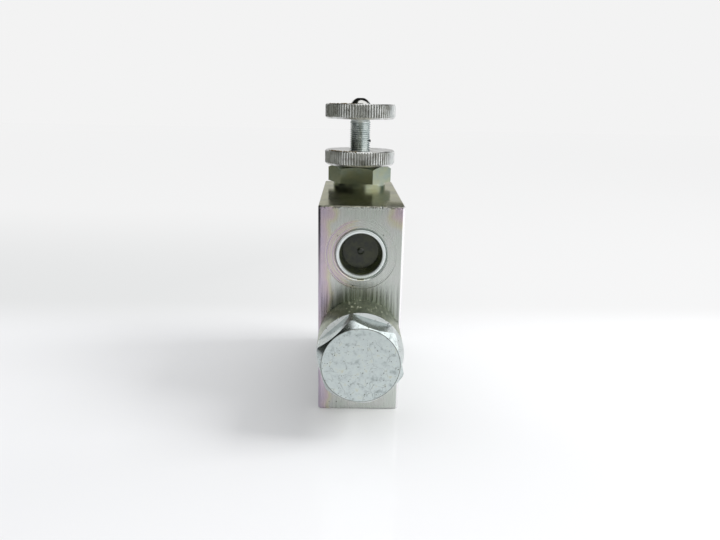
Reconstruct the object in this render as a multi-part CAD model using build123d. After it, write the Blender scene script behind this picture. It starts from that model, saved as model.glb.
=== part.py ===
# Three-way, pressure-compensated flow regulator, in millimetres, with +Z up.
# The Z axis is the adjuster's axis, Z = 0 is the base, and the plug side faces -Y.
# Flow enters at the rear, leaves regulated at the front, and the excess leaves at the base.

import math
import os

from build123d import *

# Clearances
RUN = 0.02  # radial, a spool in its bore
FIT = 0.05  # radial, threads and slipped-on pieces
SEAT = 0.1  # axial, at a stop face
LOCK_GAP = 0.3  # under the slackened lock ring
TIE = 1.0  # how far a cutting tool runs past the face that it opens

# Valve block, sawn and milled from bar
BLOCK_WIDTH = 35.0
BLOCK_FRONT = 62.0  # adjuster axis to the front face
BLOCK_REAR = 18.0  # adjuster axis to the rear face
BLOCK_HEIGHT = 90.0
LONG_EDGE = 1.0
RIM_EDGE = 0.35
NICK_X = 8.1  # the dent in the top front edge
NICK_WIDTH = 1.9
NICK_HEIGHT = 1.3
NICK_DEPTH = 0.7

# Ports, 1/2 inch parallel pipe thread, bored to the minor diameter
PORT_MINOR = 18.63
PORT_SINK = 22.4
PORT_SPOT = 29.4
PORT_SPOT_DEPTH = 0.3
PORT_THREAD = 15.0
DRILL_POINT = 31.0  # degrees between a drilled hole's cone and its floor
REGULATED_DROP = 20.0  # block top to the front port's axis
COMP_Z = 33.5  # height of the compensator and the inlet port
GALLERY = 12.0
BYPASS_BORE = 9.6

# Thread protector pushed into the front port
CAP_LIP_INSET = 0.9  # how far the lip lies inside the countersink's rim
CAP_LIP_HEIGHT = 0.9
CAP_LIP_WIDTH = 1.4
CAP_LIP_EDGE = 0.22
CAP_DRAFT = 1.05
CAP_DEPTH = 6.6
CAP_WALL = 0.75
CAP_NUB = 3.0
CAP_NUB_TIP = 1.5
CAP_NUB_HEIGHT = 0.7

# Compensator bore and spool
SPOOL_D = 20.0
COMP_STOP = 48.0  # front face to the shoulder that the spool rests on
COMP_STROKE = 9.0
COMP_STROKE_ROOM = 0.3  # left in front of the spool at full stroke
INLET_CHAMBER = 16.0
DRAIN_LAND = 4.0  # between the shoulder and the bypass groove
DRAIN_LENGTH = 10.0
DRAIN_D = 25.0
SPOOL_RECESS_DEPTH = 8.0
SPOOL_CUP = 13.0
SPOOL_CUP_DEPTH = 14.0
SPOOL_NOTCH = 3.0
SPOOL_NOTCHES = 4
BALANCE_GROOVE = 0.5
BALANCE_GROOVES = 3
BALANCE_PITCH = 3.0

# Compensator plug, milled from round bar, M26 x 1.5
PLUG_THREAD_D = 24.3
PLUG_THREAD = 11.5
PLUG_RELIEF = 2.0  # ring-shaped room past the plug's inner end
PLUG_COLLAR = BLOCK_WIDTH
PLUG_COLLAR_LENGTH = 17.0
PLUG_FLAT_DEPTH = 2.0  # milled off the round for each of the hexagon's flats
PLUG_HEX_LENGTH = 10.8
PLUG_CHAMFER = 3.3  # the steep turned chamfer's length along the plug
PLUG_CHAMFER_STEP = 2.35  # and how far in it reaches, radially
PLUG_TURN = 42.4  # a corner's angle from +X, seen from the front
PLUG_HEAD_FLOOR = 7.8

# Compression spring and its shim
SPRING_WIRE = 2.2
SPRING_OUTER = 15.0
SPRING_TURNS = 8
SPRING_PLAY = 0.5  # radial, between the spring and the bores that hold it
SHIM_THICK = 1.0
SHIM_HOLE = 6.2

# Pilot drilling between the front port and the spring chamber, with its jet
PILOT_D = 2.4
PILOT_LEAN = 20.9  # degrees off the vertical
JET_D = 4.2
JET_LENGTH = 4.5
JET_SINK = 1.2
JET_ORIFICE = 1.0
JET_HEX = 2.0
JET_SOCKET_DEPTH = 2.2

# O-rings and backup rings
RING_WIRE = 2.0
SMALL_RING_WIRE = 1.8
BACKUP_THICK = 1.2
GROOVE_PLAY = 0.1
NECK_STEP = 0.8  # how far a neck lies inside its thread, radially

# Bonnet, hexagon across flats 27, M20 x 1.5
BONNET_THREAD_D = 18.3
BONNET_CAVITY = 10.0
BONNET_END_ROOM = 0.3  # left under the thread's end
BONNET_WASHER_D = 26.0
BONNET_WASHER = 2.5
BONNET_HEX = 27.0
BONNET_HEX_LENGTH = 8.0
BONNET_TURN = -6.9  # a corner's angle from +X, seen from above
BONNET_THREAD_LENGTH = 7.5  # spindle thread inside the bonnet
HEX_CHAMFER = 30.0  # degrees, on a hexagon's outer face

# Throttle sleeve, spool and guide pin
THROTTLE_D = 12.0
THROTTLE_STROKE = 8.0
SLEEVE_WALL = 2.5
SLEEVE_SEAT_RISE = 16.5  # compensator's axis to the sleeve's seat
SLEEVE_RING_RISE = 3.0  # sleeve's seat to its seal groove
SLEEVE_WAIST_WALL = 1.5
FEED_D = 11.0
WINDOW_DROP = 3.0  # front port's axis to the windows' centres
WINDOW_D = 7.0
WINDOWS = 4
WAIST_EDGE = 1.1
SHUT_LAP = 0.5
NOTCH_HEIGHT = 4.5
NOTCH_WIDTH = 4.0
NOTCH_DEPTH = 2.0
PIN_D = 2.0
PIN_EDGE = 0.45
PIN_BITE = 1.2
SLOT_PLAY = 0.1
SPOOL_RING_LAND = 0.7

# Spindle, M10 x 1
SPINDLE_D = 10.0
SPINDLE_SHOWN = 14.7  # between the lock ring and the handwheel
SPINDLE_NECK_STEP = 0.4
SPINDLE_NECK = 1.4
BUTTON_D = 7.6
BUTTON_HEIGHT = 2.4
BUTTON_NECK_D = 5.4
BUTTON_LIP = 2.6
BUTTON_PLAY = 0.2
DRIVE_D = 8.0
DRIVE_FLATS = 6.4

# Lock ring and handwheel, straight-knurled aluminium
LOCK_D = 34.2
LOCK_THICK = 7.0
WHEEL_D = 34.0
WHEEL_THICK = 7.0
KNURLS = 80
KNURL_DEPTH = 0.45
KNURL_LAND = 0.34  # share of the pitch left at full diameter
WHEEL_EDGE = 0.6
WHEEL_UNDER_EDGE = 1.0

# Button-head screw, M5
SCREW_D = 5.0
SCREW_LENGTH = 12.0
SCREW_HEAD_D = 9.5
SCREW_HEAD = 2.75
SCREW_RIM = 0.3
SCREW_CROWN_D = 3.8
SCREW_SOCKET = 3.0
SCREW_SOCKET_DEPTH = 1.6
SCREW_HOLE_ROOM = 1.0

# Places along the block, worked out from the sizes above
FRONT_Y = -BLOCK_FRONT
REAR_Y = BLOCK_REAR
DRAIN_END = COMP_STOP - DRAIN_LAND
DRAIN_MID = DRAIN_END - DRAIN_LENGTH / 2
PLUG_CAVITY = PLUG_THREAD + PLUG_RELIEF
SPOOL_LENGTH = COMP_STOP - SEAT - PLUG_THREAD - COMP_STROKE_ROOM - COMP_STROKE
SPRING_ROOM = SPRING_OUTER + 2 * SPRING_PLAY
SPRING_SEAT = COMP_STOP - SEAT - SPOOL_LENGTH + SPOOL_RECESS_DEPTH
POCKET_END = PLUG_COLLAR_LENGTH + PLUG_HEX_LENGTH - PLUG_HEAD_FLOOR
RING_GROOVE = SMALL_RING_WIRE + BACKUP_THICK + 2 * GROOVE_PLAY
GROOVE_DEPTH = SMALL_RING_WIRE + 3 * RUN

# Heights on the adjuster's axis, worked out from the sizes above
REGULATED_Z = BLOCK_HEIGHT - REGULATED_DROP
SLEEVE_D = THROTTLE_D + 2 * SLEEVE_WALL
SLEEVE_SEAT_Z = COMP_Z + SLEEVE_SEAT_RISE
SLEEVE_RING_Z = SLEEVE_SEAT_Z + SLEEVE_RING_RISE
WINDOW_Z = REGULATED_Z - WINDOW_DROP
WINDOW_LOW = WINDOW_Z - WINDOW_D / 2
WAIST_HALF = WINDOW_D / 2 + WAIST_EDGE
PIN_Z = WINDOW_Z + WAIST_HALF + PIN_EDGE + PIN_D / 2
NOSE_Z = PIN_Z + PIN_D / 2 + PIN_EDGE
SPOOL_RING_Z = NOSE_Z + THROTTLE_STROKE + SPOOL_RING_LAND
BONNET_TOP = BLOCK_HEIGHT + BONNET_WASHER + BONNET_HEX_LENGTH
SPOOL_STOP_Z = BONNET_TOP - BONNET_THREAD_LENGTH
THROTTLE_TOP = SPOOL_STOP_Z - SEAT
THROTTLE_LOW = WINDOW_LOW - SHUT_LAP + THROTTLE_STROKE - NOTCH_HEIGHT
BUTTON_TOP = THROTTLE_TOP - BUTTON_LIP - BUTTON_PLAY / 2
LOCK_Z = BONNET_TOP + LOCK_GAP
WHEEL_Z = LOCK_Z + LOCK_THICK + SPINDLE_SHOWN
WHEEL_TOP = WHEEL_Z + WHEEL_THICK


def from_front(z):
    """A frame on the front face: local X is X, local Y is up, local Z points out."""
    return Plane(origin=(0, FRONT_Y, z), x_dir=(1, 0, 0), z_dir=(0, -1, 0)).location


def from_rear(z):
    """A frame on the rear face whose local Z points out of it."""
    return Plane(origin=(0, REAR_Y, z), x_dir=(-1, 0, 0), z_dir=(0, 1, 0)).location


def from_base(y):
    """A frame on the base whose local Z points down, out of it."""
    return Plane(origin=(0, y, 0), x_dir=(1, 0, 0), z_dir=(0, 0, -1)).location


def turned(*outline):
    """A solid of revolution about Z from its (radius, height) outline."""
    points = [(radius, 0, height) for radius, height in outline]
    return revolve(make_face(Polyline(*points, close=True)), Axis.Z)


def rod(diameter, low, high):
    """A round bar on the Z axis between two heights."""
    return Pos(0, 0, low) * extrude(Circle(diameter / 2), high - low)


def tube(outer, inner, low, high):
    """A round sleeve on the Z axis between two heights."""
    return rod(outer, low, high) - rod(inner, low - TIE, high + TIE)


def hexagon(across_flats, low, high, turn):
    """A hexagonal bar on the Z axis, with one corner at the angle turn."""
    outline = RegularPolygon(across_flats / 2, 6, major_radius=False, rotation=turn)
    return Pos(0, 0, low) * extrude(outline, high - low)


def ring(wire, inner):
    """An O-ring that lies on Z = 0 around a shaft of diameter inner."""
    centre = (inner + wire) / 2
    return Pos(0, 0, wire / 2) * Torus(centre, wire / 2)


def seal_seat_radius(thread_d):
    """The countersink radius at a face that just holds an O-ring against a neck."""
    neck = thread_d / 2 - NECK_STEP
    return neck + FIT + RING_WIRE * (1 + math.sqrt(2) / 2) + 2 * RUN


def port_bore():
    """What is cut for a threaded port: spotface, countersink, bore and drill point."""
    minor, sink = PORT_MINOR / 2, PORT_SINK / 2
    sink_end = PORT_SPOT_DEPTH + sink - minor
    point = minor * math.tan(math.radians(DRILL_POINT))
    return turned(
        (0, TIE),
        (PORT_SPOT / 2, TIE),
        (PORT_SPOT / 2, -PORT_SPOT_DEPTH),
        (sink, -PORT_SPOT_DEPTH),
        (minor, -sink_end),
        (minor, -PORT_THREAD),
        (0, -PORT_THREAD - point),
    )


def screwed_bore(thread_d, depth):
    """What is cut for a screwed-in piece: thread bore and the seat of its O-ring."""
    bore = thread_d / 2 + FIT
    seat = seal_seat_radius(thread_d)
    return turned(
        (0, TIE),
        (seat, TIE),
        (seat, 0),
        (bore, bore - seat),
        (bore, -depth),
        (0, -depth),
    )


def compensator_bore():
    """The bore behind the big plug, from the front face to the inlet thread."""
    inlet = BLOCK_FRONT + BLOCK_REAR - PORT_THREAD
    bore = screwed_bore(PLUG_THREAD_D, PLUG_CAVITY)
    bore += rod(SPOOL_D, -COMP_STOP, -PLUG_CAVITY + TIE)
    bore += rod(INLET_CHAMBER, -inlet - TIE, -COMP_STOP + TIE)
    bore += rod(DRAIN_D, -DRAIN_END, DRAIN_LENGTH - DRAIN_END)
    return bore


def pilot_place():
    """The frame of the sloping pilot drilling, at the wall of the front port."""
    chamber_top = COMP_Z + PLUG_THREAD_D / 2
    drop = REGULATED_Z - PORT_MINOR / 2 - chamber_top
    end_y = FRONT_Y + PLUG_THREAD + PLUG_RELIEF / 2
    start_y = end_y - drop * math.tan(math.radians(PILOT_LEAN))
    return Pos(0, start_y, chamber_top + drop) * Rot(PILOT_LEAN, 0, 0)


def pilot_length():
    """The length of the pilot drilling, from port wall to spring chamber."""
    drop = REGULATED_Z - PORT_MINOR / 2 - COMP_Z - PLUG_THREAD_D / 2
    return drop / math.cos(math.radians(PILOT_LEAN))


def pilot_bore():
    """The pilot drilling with the wider thread for its jet."""
    jet = rod(JET_D + 2 * FIT, -JET_SINK - JET_LENGTH, TIE)
    return pilot_place() * (jet + rod(PILOT_D, -pilot_length() - TIE, TIE))


def adjuster_bore():
    """The vertical bore: bonnet thread, throttle sleeve and feed drilling."""
    bore = Pos(0, 0, BLOCK_HEIGHT) * screwed_bore(BONNET_THREAD_D, BONNET_CAVITY)
    bore += rod(SLEEVE_D, SLEEVE_SEAT_Z, BLOCK_HEIGHT - BONNET_CAVITY + TIE)
    bore += rod(FEED_D, COMP_Z, SLEEVE_SEAT_Z + TIE)
    return bore


def nick():
    """The dent in the top front edge: a V groove that rises from the face to the top."""
    half = NICK_WIDTH / 2 * (1 + TIE / NICK_HEIGHT)
    outline = Polyline((-half, 0, TIE), (half, 0, TIE), (0, 0, -NICK_HEIGHT), close=True)
    groove = extrude(make_face(outline), TIE, dir=(0, NICK_DEPTH, NICK_HEIGHT), both=True)
    return Pos(NICK_X, FRONT_Y, BLOCK_HEIGHT) * groove


def valve_body():
    length = BLOCK_FRONT + BLOCK_REAR
    block = Pos(0, REAR_Y - length / 2, BLOCK_HEIGHT / 2) * Box(BLOCK_WIDTH, length, BLOCK_HEIGHT)
    block = chamfer(block.edges().filter_by(Axis.Z), LONG_EDGE)
    rims = block.faces().sort_by(Axis.Z)
    block = chamfer(rims[0].edges() + rims[-1].edges(), RIM_EDGE)
    block -= from_front(REGULATED_Z) * port_bore()
    block -= from_rear(COMP_Z) * port_bore()
    block -= from_front(COMP_Z) * compensator_bore()
    block -= adjuster_bore()
    gallery = rod(GALLERY, -BLOCK_FRONT, -PORT_THREAD)
    block -= from_front(REGULATED_Z) * gallery
    bypass = from_base(FRONT_Y + DRAIN_MID)
    block -= bypass * port_bore()
    block -= bypass * rod(BYPASS_BORE, -COMP_Z + SPOOL_D / 2, -PORT_THREAD)
    block -= pilot_bore()
    block -= nick()
    return block


def front_port_cap():
    """A thin moulded cup: its lip sits on the countersink, its wall tapers inwards."""
    lip = PORT_SINK / 2 - CAP_LIP_INSET
    lip_back = FIT - PORT_SPOT_DEPTH - CAP_LIP_INSET
    lip_front = lip_back + CAP_LIP_HEIGHT
    root = PORT_MINOR / 2 - 2 * FIT
    step = lip_back - (lip - root)
    mouth = lip - CAP_LIP_WIDTH
    floor = root - CAP_DRAFT
    floor_z = lip_front - CAP_DEPTH
    cup = turned(
        (0, floor_z),
        (floor - CAP_WALL, floor_z),
        (root - CAP_WALL, step),
        (mouth, lip_back + CAP_LIP_EDGE),
        (mouth, lip_front),
        (lip - CAP_LIP_EDGE, lip_front),
        (lip, lip_front - CAP_LIP_EDGE),
        (lip, lip_back),
        (root, step),
        (floor, floor_z - CAP_WALL),
        (0, floor_z - CAP_WALL),
    )
    nub = turned(
        (0, floor_z - CAP_WALL / 2),
        (CAP_NUB / 2, floor_z - CAP_WALL / 2),
        (CAP_NUB / 2, floor_z + CAP_NUB_HEIGHT / 2),
        (CAP_NUB_TIP / 2, floor_z + CAP_NUB_HEIGHT),
        (0, floor_z + CAP_NUB_HEIGHT),
    )
    return from_front(REGULATED_Z) * (cup + nub)


def compensator_plug():
    """Collar, milled hexagon with a steep turned chamfer, neck, thread and pocket."""
    collar, thread = PLUG_COLLAR / 2, PLUG_THREAD_D / 2
    face = collar - PLUG_CHAMFER_STEP
    end = PLUG_COLLAR_LENGTH + PLUG_HEX_LENGTH
    neck = thread - NECK_STEP
    neck_end = -RING_WIRE - NECK_STEP
    round_part = turned(
        (0, -PLUG_THREAD),
        (neck, -PLUG_THREAD),
        (thread, NECK_STEP - PLUG_THREAD),
        (thread, neck_end),
        (neck, neck_end),
        (neck, 0),
        (collar - RIM_EDGE, 0),
        (collar, RIM_EDGE),
        (collar, end - PLUG_CHAMFER),
        (face, end),
        (0, end),
    )
    milled = rod(2 * PLUG_COLLAR, PLUG_COLLAR_LENGTH, end + TIE)
    across_flats = PLUG_COLLAR - 2 * PLUG_FLAT_DEPTH
    milled -= hexagon(across_flats, PLUG_COLLAR_LENGTH, end + TIE, PLUG_TURN)
    pocket = rod(SPRING_ROOM, -PLUG_THREAD - TIE, POCKET_END)
    return from_front(COMP_Z) * (round_part - milled - pocket)


def plug_o_ring():
    neck = PLUG_THREAD_D - 2 * NECK_STEP + 2 * FIT
    return from_front(COMP_Z) * Pos(0, 0, -RING_WIRE) * ring(RING_WIRE, neck)


def spring_shim():
    return from_front(COMP_Z) * tube(SPRING_OUTER, SHIM_HOLE, POCKET_END - SHIM_THICK, POCKET_END)


def compensator_spring():
    """A right-hand coil of round wire with both ends ground flat."""
    low, high = -SPRING_SEAT, POCKET_END - SHIM_THICK
    radius = (SPRING_OUTER - SPRING_WIRE) / 2
    pitch = (high - low) / SPRING_TURNS
    path = Pos(0, 0, low) * Helix(pitch, high - low, radius)
    section = Plane(origin=path @ 0, z_dir=path % 0) * Circle(SPRING_WIRE / 2)
    coil = sweep(section, path=path, is_frenet=True)
    kept = rod(2 * SPRING_OUTER, low + SEAT, high - SEAT)
    return from_front(COMP_Z) * (coil & kept)


def compensator_spool():
    """A piston with a spring recess in front and a notched cup at the inlet side."""
    front = SEAT + SPOOL_LENGTH - COMP_STOP
    rear = SEAT - COMP_STOP
    spool = rod(SPOOL_D - 2 * RUN, rear, front)
    spool = chamfer(spool.edges().filter_by(GeomType.CIRCLE), RIM_EDGE)
    spool -= rod(SPRING_ROOM, -SPRING_SEAT, front + TIE)
    spool -= rod(SPOOL_CUP, rear - TIE, rear + SPOOL_CUP_DEPTH)
    notch = Rot(90, 0, 0) * extrude(Circle(SPOOL_NOTCH / 2), SPOOL_D)
    for index in range(SPOOL_NOTCHES):
        spool -= Rot(0, 0, index * 360 / SPOOL_NOTCHES) * Pos(0, 0, rear) * notch
    for index in range(BALANCE_GROOVES):
        low = front - BALANCE_PITCH * (index + 1)
        spool -= tube(2 * SPOOL_D, SPOOL_D - 2 * BALANCE_GROOVE, low, low + BALANCE_GROOVE)
    return from_front(COMP_Z) * spool


def pilot_jet():
    """A socket set screw with a small hole through it."""
    low, high = -JET_SINK - JET_LENGTH, -JET_SINK
    jet = rod(JET_D, low, high) - rod(JET_ORIFICE, low - TIE, high + TIE)
    jet -= hexagon(JET_HEX, high - JET_SOCKET_DEPTH, high + TIE, 0)
    return pilot_place() * jet


def bonnet():
    """Hexagon on a washer face, with a neck, a thread, a nose and the spool bore."""
    thread, nose = BONNET_THREAD_D / 2, SLEEVE_D / 2 - FIT
    neck = thread - NECK_STEP
    washer_top = BLOCK_HEIGHT + BONNET_WASHER
    shoulder = BLOCK_HEIGHT - BONNET_CAVITY + BONNET_END_ROOM
    neck_end = BLOCK_HEIGHT - RING_WIRE - NECK_STEP
    corner = BONNET_HEX / 2 / math.cos(math.pi / 6)
    flat = BONNET_HEX / 2 - RIM_EDGE
    top_chamfer = (corner - flat) * math.tan(math.radians(HEX_CHAMFER))
    round_part = turned(
        (0, NOSE_Z + SEAT),
        (nose, NOSE_Z + SEAT),
        (nose, shoulder),
        (thread, shoulder),
        (thread, neck_end),
        (neck, neck_end),
        (neck, BLOCK_HEIGHT),
        (BONNET_WASHER_D / 2, BLOCK_HEIGHT),
        (BONNET_WASHER_D / 2, washer_top + TIE),
        (0, washer_top + TIE),
    )
    chamfered = turned(
        (0, washer_top),
        (corner, washer_top),
        (corner, BONNET_TOP - top_chamfer),
        (flat, BONNET_TOP),
        (0, BONNET_TOP),
    )
    body = round_part + (hexagon(BONNET_HEX, washer_top, BONNET_TOP, BONNET_TURN) & chamfered)
    body -= rod(THROTTLE_D, NOSE_Z - TIE, SPOOL_STOP_Z)
    body -= rod(SPINDLE_D + 2 * FIT, NOSE_Z, BONNET_TOP + TIE)
    return body


def bonnet_o_ring():
    neck = BONNET_THREAD_D - 2 * NECK_STEP + 2 * FIT
    return Pos(0, 0, BLOCK_HEIGHT - RING_WIRE) * ring(RING_WIRE, neck)


def throttle_sleeve():
    """A ported sleeve: seal groove below, a waist with round windows, a pin hole."""
    sleeve = tube(SLEEVE_D - 2 * RUN, THROTTLE_D, SLEEVE_SEAT_Z, NOSE_Z)
    waist = THROTTLE_D + 2 * SLEEVE_WAIST_WALL
    sleeve -= tube(2 * SLEEVE_D, waist, WINDOW_Z - WAIST_HALF, WINDOW_Z + WAIST_HALF)
    groove_top = SLEEVE_RING_Z + RING_GROOVE
    sleeve -= tube(2 * SLEEVE_D, SLEEVE_D - 2 * GROOVE_DEPTH, SLEEVE_RING_Z, groove_top)
    window = Pos(0, 0, WINDOW_Z) * Rot(90, 0, 0) * extrude(Circle(WINDOW_D / 2), SLEEVE_D)
    for index in range(WINDOWS):
        sleeve -= Rot(0, 0, (index + 0.5) * 360 / WINDOWS) * window
    pin_hole = Pos(0, 0, PIN_Z) * Rot(0, 90, 0) * extrude(Circle(PIN_D / 2 + RUN), SLEEVE_D)
    return sleeve - pin_hole


def groove_rings(z, inner):
    """An O-ring and, above it, its backup ring, around a groove root."""
    seal = Pos(0, 0, z + GROOVE_PLAY) * ring(SMALL_RING_WIRE, inner + 2 * RUN)
    low = z + GROOVE_PLAY + SMALL_RING_WIRE
    backup = tube(inner + 2 * GROOVE_DEPTH - 2 * RUN, inner + 2 * RUN, low, low + BACKUP_THICK)
    return seal, backup


def t_slot(width, low, high):
    """A slot open towards +X, with a round end on the spool's axis."""
    middle = (Align.MIN, Align.CENTER, Align.MIN)
    return rod(width, low, high) + Pos(0, 0, low) * Box(THROTTLE_D, width, high - low, align=middle)


def guide_slot():
    """The slot beside the spool that the guide pin rides in, as long as the stroke."""
    width = PIN_D + 2 * SLOT_PLAY
    length = width + THROTTLE_STROKE + 2 * SLOT_PLAY
    middle = (Align.CENTER, Align.CENTER, Align.MIN)
    slot = Box(2 * (PIN_BITE + SLOT_PLAY), width, length, align=middle)
    return Pos(THROTTLE_D / 2, 0, PIN_Z - width / 2 - SLOT_PLAY) * slot


def notches():
    """Two opposite V-shaped metering notches that open at the spool's lower end."""
    low, apex = THROTTLE_LOW - TIE, THROTTLE_LOW + NOTCH_HEIGHT
    half = NOTCH_WIDTH / 2 * (1 + TIE / NOTCH_HEIGHT)
    outline = make_face(Polyline((-half, 0, low), (half, 0, low), (0, 0, apex), close=True))
    wedge = extrude(outline, THROTTLE_D, dir=(0, 1, 0))
    core = rod(THROTTLE_D - 2 * NOTCH_DEPTH, low, apex)
    return (wedge + Rot(0, 0, 180) * wedge) - core


def throttle_spool():
    """Notched below, a guide slot and a seal groove, and a T-slot on top."""
    spool = rod(THROTTLE_D - 2 * RUN, THROTTLE_LOW, THROTTLE_TOP)
    spool -= notches()
    spool -= guide_slot()
    root = THROTTLE_D - 2 * GROOVE_DEPTH
    spool -= tube(2 * THROTTLE_D, root, SPOOL_RING_Z, SPOOL_RING_Z + RING_GROOVE)
    floor = BUTTON_TOP - BUTTON_HEIGHT - BUTTON_PLAY / 2
    spool -= t_slot(BUTTON_D + 2 * BUTTON_PLAY, floor, THROTTLE_TOP - BUTTON_LIP)
    spool -= t_slot(BUTTON_NECK_D + 2 * BUTTON_PLAY, floor, THROTTLE_TOP + TIE)
    return spool


def guide_pin():
    start = THROTTLE_D / 2 - PIN_BITE
    length = SLEEVE_D / 2 - RUN - SEAT - start
    return Pos(start, 0, PIN_Z) * Rot(0, 90, 0) * extrude(Circle(PIN_D / 2), length)


def drive_bar(across_flats, low, high):
    """A wide flat bar, which leaves two flats on the spindle's seat."""
    middle = (Align.CENTER, Align.CENTER, Align.MIN)
    return Pos(0, 0, low) * Box(4 * DRIVE_D, across_flats, high - low, align=middle)


def spindle():
    """Button end in the T-slot, thread, neck and a double-D seat for the handwheel."""
    button_low = BUTTON_TOP - BUTTON_HEIGHT
    thread_low = THROTTLE_TOP + 2 * BUTTON_PLAY
    thread, button, seat = SPINDLE_D / 2, BUTTON_D / 2, DRIVE_D / 2
    neck = thread - SPINDLE_NECK_STEP
    thread_top = WHEEL_Z - SPINDLE_NECK
    seat_top = WHEEL_TOP - BUTTON_PLAY
    body = turned(
        (0, button_low),
        (button - RIM_EDGE, button_low),
        (button, button_low + RIM_EDGE),
        (button, BUTTON_TOP),
        (BUTTON_NECK_D / 2, BUTTON_TOP),
        (BUTTON_NECK_D / 2, thread_low),
        (thread - RIM_EDGE, thread_low),
        (thread, thread_low + RIM_EDGE),
        (thread, thread_top),
        (neck, thread_top + SPINDLE_NECK_STEP),
        (neck, WHEEL_Z),
        (seat, WHEEL_Z),
        (seat, seat_top),
        (0, seat_top),
    )
    flats = rod(2 * DRIVE_D, WHEEL_Z, WHEEL_TOP) - drive_bar(DRIVE_FLATS, WHEEL_Z, WHEEL_TOP)
    hole = rod(SCREW_D + 2 * FIT, WHEEL_TOP - SCREW_LENGTH - SCREW_HOLE_ROOM, WHEEL_TOP)
    return body - flats - hole


def knurled_disc(diameter, low, high):
    """A disc with straight V-knurls around it and both rims chamfered."""
    outer, root = diameter / 2, diameter / 2 - KNURL_DEPTH
    points = []
    for tooth in range(KNURLS):
        for share, radius in ((-KNURL_LAND / 2, outer), (KNURL_LAND / 2, outer), (0.5, root)):
            angle = 2 * math.pi * (tooth + share) / KNURLS
            points.append((radius * math.cos(angle), radius * math.sin(angle)))
    knurled = Pos(0, 0, low) * extrude(make_face(Polyline(*points, close=True)), high - low)
    trimmed = turned(
        (0, low),
        (outer - WHEEL_UNDER_EDGE, low),
        (outer, low + WHEEL_UNDER_EDGE),
        (outer, high - WHEEL_EDGE),
        (outer - WHEEL_EDGE, high),
        (0, high),
    )
    return knurled & trimmed


def lock_ring():
    ring_nut = knurled_disc(LOCK_D, LOCK_Z, LOCK_Z + LOCK_THICK)
    return ring_nut - rod(SPINDLE_D + 2 * FIT, LOCK_Z - TIE, LOCK_Z + LOCK_THICK + TIE)


def handwheel():
    low, high = WHEEL_Z - TIE, WHEEL_TOP + TIE
    seat = rod(DRIVE_D + 2 * FIT, low, high) & drive_bar(DRIVE_FLATS + 2 * FIT, low, high)
    return knurled_disc(WHEEL_D, WHEEL_Z, WHEEL_TOP) - seat


def handwheel_screw():
    """A head cut from a ball, with a flat crown and a hexagon socket, on a plain shank."""
    head, crown = SCREW_HEAD_D / 2, SCREW_CROWN_D / 2
    spread = SCREW_HEAD**2 + crown**2 - SCREW_RIM**2 - head**2
    centre = spread / 2 / (SCREW_HEAD - SCREW_RIM)
    ball = Pos(0, 0, WHEEL_TOP + centre) * Sphere(math.hypot(crown, SCREW_HEAD - centre))
    top = WHEEL_TOP + SCREW_HEAD
    screw = ball & rod(SCREW_HEAD_D, WHEEL_TOP, top)
    screw += rod(SCREW_D, WHEEL_TOP - SCREW_LENGTH, WHEEL_TOP)
    return screw - hexagon(SCREW_SOCKET, top - SCREW_SOCKET_DEPTH, top + TIE, 0)


sleeve_ring, sleeve_backup = groove_rings(SLEEVE_RING_Z, SLEEVE_D - 2 * GROOVE_DEPTH)
spool_ring, spool_backup = groove_rings(SPOOL_RING_Z, THROTTLE_D - 2 * GROOVE_DEPTH)

PIECES = {
    "valve_body": valve_body(),
    "front_port_cap": front_port_cap(),
    "compensator_plug": compensator_plug(),
    "plug_o_ring": plug_o_ring(),
    "spring_shim": spring_shim(),
    "compensator_spring": compensator_spring(),
    "compensator_spool": compensator_spool(),
    "pilot_jet": pilot_jet(),
    "bonnet": bonnet(),
    "bonnet_o_ring": bonnet_o_ring(),
    "throttle_sleeve": throttle_sleeve(),
    "sleeve_o_ring": sleeve_ring,
    "sleeve_backup_ring": sleeve_backup,
    "throttle_spool": throttle_spool(),
    "spool_o_ring": spool_ring,
    "spool_backup_ring": spool_backup,
    "guide_pin": guide_pin(),
    "spindle": spindle(),
    "lock_ring": lock_ring(),
    "handwheel": handwheel(),
    "handwheel_screw": handwheel_screw(),
}

os.makedirs("parts", exist_ok=True)
for name, piece in PIECES.items():
    export_step(piece, f"parts/{name}.step")
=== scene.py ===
import math

import bpy
import numpy as np
from mathutils import Matrix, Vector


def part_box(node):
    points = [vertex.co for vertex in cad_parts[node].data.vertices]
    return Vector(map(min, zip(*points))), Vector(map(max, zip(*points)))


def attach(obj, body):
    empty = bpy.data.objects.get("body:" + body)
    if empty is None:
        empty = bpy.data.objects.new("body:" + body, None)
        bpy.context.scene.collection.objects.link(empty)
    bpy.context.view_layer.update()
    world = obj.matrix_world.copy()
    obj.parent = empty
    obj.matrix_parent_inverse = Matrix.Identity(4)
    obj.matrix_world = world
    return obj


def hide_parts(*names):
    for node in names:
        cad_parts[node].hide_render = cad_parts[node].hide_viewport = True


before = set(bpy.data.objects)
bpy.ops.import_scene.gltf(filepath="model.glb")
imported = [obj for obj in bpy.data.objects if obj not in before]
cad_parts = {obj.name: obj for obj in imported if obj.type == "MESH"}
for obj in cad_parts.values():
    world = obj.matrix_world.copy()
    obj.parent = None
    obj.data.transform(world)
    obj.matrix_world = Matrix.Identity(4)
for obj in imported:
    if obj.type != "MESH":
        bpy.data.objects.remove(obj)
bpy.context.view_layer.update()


# The camera
# The photograph's viewpoint: a hand-held camera a little above the handwheel, 23 cm in front
# of the block, looking 16 degrees down and leaning one degree to the right.
EYE = (-0.006022, -0.294058, 0.129103)
PITCH, YAW, ROLL = (math.radians(angle) for angle in (15.7603, -1.4167, 1.1381))
LENS_MM, NEAREST = 29.275, 0.01


def axes_and_place(right, up, back, place):
    """A matrix whose columns are three axes and a place."""
    columns = np.column_stack([right, up, back, place])
    return Matrix([*columns.tolist(), (0.0, 0.0, 0.0, 1.0)])


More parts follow.
